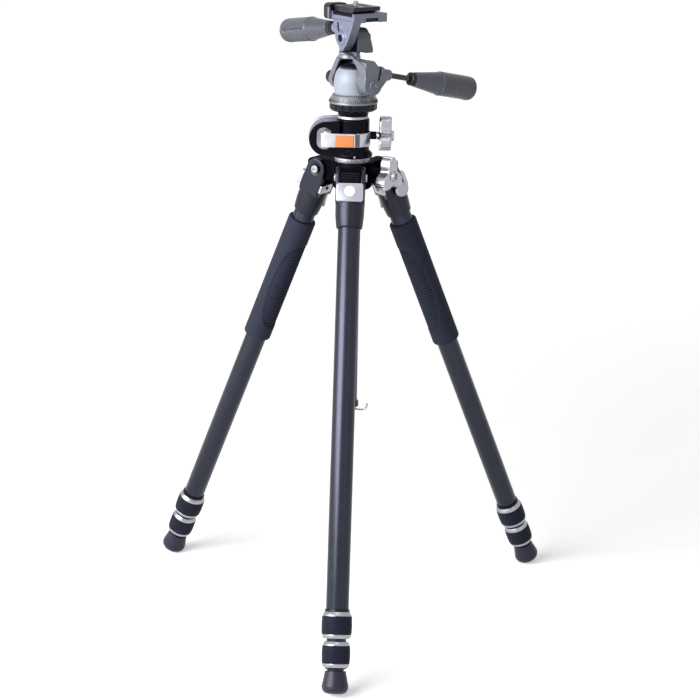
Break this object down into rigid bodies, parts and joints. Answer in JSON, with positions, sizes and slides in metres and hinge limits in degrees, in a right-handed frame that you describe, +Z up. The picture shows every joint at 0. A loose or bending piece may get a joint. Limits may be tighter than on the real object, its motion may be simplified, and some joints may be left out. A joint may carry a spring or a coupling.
{
  "type": "camera tripod with pan head",
  "caption": "Compact aluminium photo tripod with twist-lock legs, a turning column clamp and a three-way pan head with two handles and a quick-release plate.",
  "frame": {"origin": "middle of the box round the whole tripod, on the ground under it; the column's axis is 67.7 mm behind it", "axes": "+Z up along the centre column; the front leg points along -Y, the other two at 120 degrees to it"},
  "size_m": [0.4994, 0.4366, 0.7463],
  "materials": {
    "black_paint": "satin black paint on cast alloy",
    "leg_paint": "satin dark grey anodised tube",
    "rubber": "matt ribbed rubber",
    "foam": "closed-cell foam with moulded ribs",
    "bright_aluminium": "bright brushed and clear anodised",
    "grey_metal": "silver-grey metallic paint",
    "dark_metal": "dark grey satin",
    "dark_plastic": "black moulded plastic",
    "orange_insert": "orange moulded plastic"
  },
  "bodies": {
    "root": {"crown": "black_paint", "degree_ring": "grey_metal", "front_hinge_bolt": "bright_aluminium", "right_hinge_bolt": "bright_aluminium", "left_hinge_bolt": "bright_aluminium"},
    "front_leg": {"front_leg_shoulder": "black_paint", "front_upper_tube": "leg_paint"},
    "front_angle_tab": {"front_angle_tab": "bright_aluminium"},
    "front_upper_lock": {"front_upper_lock": "rubber"},
    "front_middle_section": {"front_middle_tube": "leg_paint"},
    "front_lower_lock": {"front_lower_lock": "rubber"},
    "front_lower_section": {"front_lower_tube": "leg_paint", "front_foot": "rubber"},
    "right_leg": {"right_leg_shoulder": "black_paint", "right_upper_tube": "leg_paint", "right_foam_grip": "foam"},
    "right_angle_tab": {"right_angle_tab": "bright_aluminium"},
    "right_upper_lock": {"right_upper_lock": "rubber"},
    "right_middle_section": {"right_middle_tube": "leg_paint"},
    "right_lower_lock": {"right_lower_lock": "rubber"},
    "right_lower_section": {"right_lower_tube": "leg_paint", "right_foot": "rubber"},
    "left_leg": {"left_leg_shoulder": "black_paint", "left_upper_tube": "leg_paint", "left_foam_grip": "foam"},
    "left_angle_tab": {"left_angle_tab": "bright_aluminium"},
    "left_upper_lock": {"left_upper_lock": "rubber"},
    "left_middle_section": {"left_middle_tube": "leg_paint"},
    "left_lower_lock": {"left_lower_lock": "rubber"},
    "left_lower_section": {"left_lower_tube": "leg_paint", "left_foot": "rubber"},
    "right_side_knob": {"right_side_knob": "bright_aluminium"},
    "crown_knob": {"crown_knob": "bright_aluminium"},
    "clamp": {"clamp_base": "black_paint", "column_collar": "black_paint", "rear_cheek": "bright_aluminium", "pivot_bolt": "bright_aluminium"},
    "clamp_lever": {"clamp_lever": "bright_aluminium"},
    "lever_insert": {"lever_insert": "orange_insert"},
    "column_knob": {"column_knob": "bright_aluminium"},
    "column": {"centre_column": "leg_paint", "column_top_plate": "bright_aluminium", "column_plug": "dark_plastic", "head_neck": "black_paint"},
    "bag_hook": {"bag_hook": "bright_aluminium"},
    "pan_lock_ring": {"pan_lock_ring": "dark_plastic"},
    "pan": {"pan_barrel": "grey_metal", "barrel_cap": "dark_plastic"},
    "yoke": {"tilt_yoke": "grey_metal", "tilt_axle": "grey_metal", "roll_post": "dark_metal"},
    "tilt_knob": {"tilt_knob": "dark_plastic"},
    "tilt_handle": {"tilt_rod": "dark_plastic", "tilt_grip": "dark_metal"},
    "bracket": {"roll_bracket": "grey_metal"},
    "roll_handle": {"roll_rod": "dark_plastic", "roll_grip": "dark_metal"},
    "plate_release_lever": {"plate_release_lever": "dark_plastic"},
    "quick_plate": {"quick_plate": "dark_plastic"},
    "camera_screw": {"camera_screw": "bright_aluminium"}
  },
  "joints": [
    {"name": "front_leg_splay", "type": "hinge", "parent": "root", "child": "front_leg", "pos_m": [0, 0.02627, 0.54732], "axis": [-1, 0, 0], "range_deg": [-21, 57]},
    {"name": "front_angle_tab_pull", "type": "slide", "parent": "front_leg", "child": "front_angle_tab", "axis": [0, -0.9191, 0.3939], "range_m": [0, 0.003], "stiffness_N_per_m": 300},
    {"name": "front_upper_lock_twist", "type": "hinge", "parent": "front_leg", "child": "front_upper_lock", "pos_m": [0, 0.02627, 0.54732], "axis": [0, 0.3939, 0.9191], "range_deg": [0, 120]},
    {"name": "front_middle_slide", "type": "slide", "parent": "front_leg", "child": "front_middle_section", "axis": [0, -0.3939, -0.9191], "range_m": [0, 0.37]},
    {"name": "front_lower_lock_twist", "type": "hinge", "parent": "front_middle_section", "child": "front_lower_lock", "pos_m": [0, 0.02627, 0.54732], "axis": [0, 0.3939, 0.9191], "range_deg": [0, 120]},
    {"name": "front_lower_slide", "type": "slide", "parent": "front_middle_section", "child": "front_lower_section", "axis": [0, -0.3939, -0.9191], "range_m": [0, 0.37]},
    {"name": "right_leg_splay", "type": "hinge", "parent": "root", "child": "right_leg", "pos_m": [0.03585, 0.08837, 0.54732], "axis": [0.5, -0.866, 0], "range_deg": [-21, 57]},
    {"name": "right_angle_tab_pull", "type": "slide", "parent": "right_leg", "child": "right_angle_tab", "axis": [0.796, 0.4596, 0.3939], "range_m": [0, 0.003], "stiffness_N_per_m": 300},
    {"name": "right_upper_lock_twist", "type": "hinge", "parent": "right_leg", "child": "right_upper_lock", "pos_m": [0.03585, 0.08837, 0.54732], "axis": [-0.3412, -0.197, 0.9191], "range_deg": [0, 120]},
    {"name": "right_middle_slide", "type": "slide", "parent": "right_leg", "child": "right_middle_section", "axis": [0.3412, 0.197, -0.9191], "range_m": [0, 0.37]},
    {"name": "right_lower_lock_twist", "type": "hinge", "parent": "right_middle_section", "child": "right_lower_lock", "pos_m": [0.03585, 0.08837, 0.54732], "axis": [-0.3412, -0.197, 0.9191], "range_deg": [0, 120]},
    {"name": "right_lower_slide", "type": "slide", "parent": "right_middle_section", "child": "right_lower_section", "axis": [0.3412, 0.197, -0.9191], "range_m": [0, 0.37]},
    {"name": "left_leg_splay", "type": "hinge", "parent": "root", "child": "left_leg", "pos_m": [-0.03585, 0.08837, 0.54732], "axis": [0.5, 0.866, 0], "range_deg": [-21, 57]},
    {"name": "left_angle_tab_pull", "type": "slide", "parent": "left_leg", "child": "left_angle_tab", "axis": [-0.796, 0.4596, 0.3939], "range_m": [0, 0.003], "stiffness_N_per_m": 300},
    {"name": "left_upper_lock_twist", "type": "hinge", "parent": "left_leg", "child": "left_upper_lock", "pos_m": [-0.03585, 0.08837, 0.54732], "axis": [0.3412, -0.197, 0.9191], "range_deg": [0, 120]},
    {"name": "left_middle_slide", "type": "slide", "parent": "left_leg", "child": "left_middle_section", "axis": [-0.3412, 0.197, -0.9191], "range_m": [0, 0.37]},
    {"name": "left_lower_lock_twist", "type": "hinge", "parent": "left_middle_section", "child": "left_lower_lock", "pos_m": [-0.03585, 0.08837, 0.54732], "axis": [0.3412, -0.197, 0.9191], "range_deg": [0, 120]},
    {"name": "left_lower_slide", "type": "slide", "parent": "left_middle_section", "child": "left_lower_section", "axis": [-0.3412, 0.197, -0.9191], "range_m": [0, 0.37]},
    {"name": "right_side_knob_turn", "type": "hinge", "parent": "right_leg", "child": "right_side_knob", "pos_m": [0.04791, 0.09533, 0.525], "axis": [0.5, -0.866, 0], "range_deg": [0, 360]},
    {"name": "crown_knob_turn", "type": "hinge", "parent": "root", "child": "crown_knob", "pos_m": [0, 0.06767, 0.54732], "axis": [0.866, -0.5, 0], "range_deg": [-360, 0]},
    {"name": "clamp_turn", "type": "hinge", "parent": "root", "child": "clamp", "pos_m": [0, 0.06767, 0.56532], "axis": [0, 0, 1], "continuous": true},
    {"name": "clamp_lever_open", "type": "hinge", "parent": "clamp", "child": "clamp_lever", "pos_m": [-0.0295, 0.05167, 0.58762], "axis": [0, 0, -1], "range_deg": [0, 100]},
    {"name": "lever_insert_press", "type": "slide", "parent": "clamp_lever", "child": "lever_insert", "axis": [0, 1, 0], "range_m": [0, 0.0008], "stiffness_N_per_m": 600},
    {"name": "column_knob_turn", "type": "hinge", "parent": "clamp", "child": "column_knob", "pos_m": [0, 0.06767, 0.59032], "axis": [1, 0, 0], "range_deg": [-360, 0]},
    {"name": "column_slide", "type": "slide", "parent": "clamp", "child": "column", "axis": [0, 0, 1], "range_m": [0, 0.26]},
    {"name": "bag_hook_swivel", "type": "hinge", "parent": "column", "child": "bag_hook", "pos_m": [0, 0.06767, 0.252], "axis": [0, 0, 1], "continuous": true},
    {"name": "pan_lock_ring_turn", "type": "hinge", "parent": "column", "child": "pan_lock_ring", "pos_m": [0, 0.06767, 0.62482], "axis": [0, 0, 1], "range_deg": [0, 60]},
    {"name": "pan_turn", "type": "hinge", "parent": "column", "child": "pan", "pos_m": [0, 0.06767, 0.62882], "axis": [0, 0, 1], "continuous": true},
    {"name": "head_tilt", "type": "hinge", "parent": "pan", "child": "yoke", "pos_m": [0, 0.06767, 0.65352], "axis": [0.6018, -0.7986, 0], "range_deg": [-30, 80]},
    {"name": "tilt_knob_turn", "type": "hinge", "parent": "yoke", "child": "tilt_knob", "pos_m": [0, 0.06767, 0.65352], "axis": [-0.6018, 0.7986, 0], "range_deg": [0, 180]},
    {"name": "tilt_handle_twist", "type": "hinge", "parent": "yoke", "child": "tilt_handle", "pos_m": [0.01926, 0.04211, 0.66812], "axis": [0.7829, 0.5899, -0.1977], "range_deg": [0, 180]},
    {"name": "head_roll", "type": "hinge", "parent": "yoke", "child": "bracket", "pos_m": [0, 0.06767, 0.70452], "axis": [0.7986, 0.6018, 0], "range_deg": [-30, 90]},
    {"name": "roll_handle_twist", "type": "hinge", "parent": "bracket", "child": "roll_handle", "pos_m": [-0.00958, 0.06044, 0.71722], "axis": [-0.596, 0.7909, -0.1392], "range_deg": [0, 180]},
    {"name": "plate_release", "type": "hinge", "parent": "bracket", "child": "plate_release_lever", "pos_m": [-0.01522, 0.09451, 0.73282], "axis": [0, 0, -1], "range_deg": [0, 60], "stiffness_Nm_per_rad": 0.05},
    {"name": "quick_plate_lift", "type": "slide", "parent": "bracket", "child": "quick_plate", "axis": [0, 0, 1], "range_m": [0, 0.015]},
    {"name": "camera_screw_turn", "type": "hinge", "parent": "quick_plate", "child": "camera_screw", "pos_m": [0.00094, 0.06775, 0.74082], "axis": [0, 0, 1], "continuous": true}
  ]
}
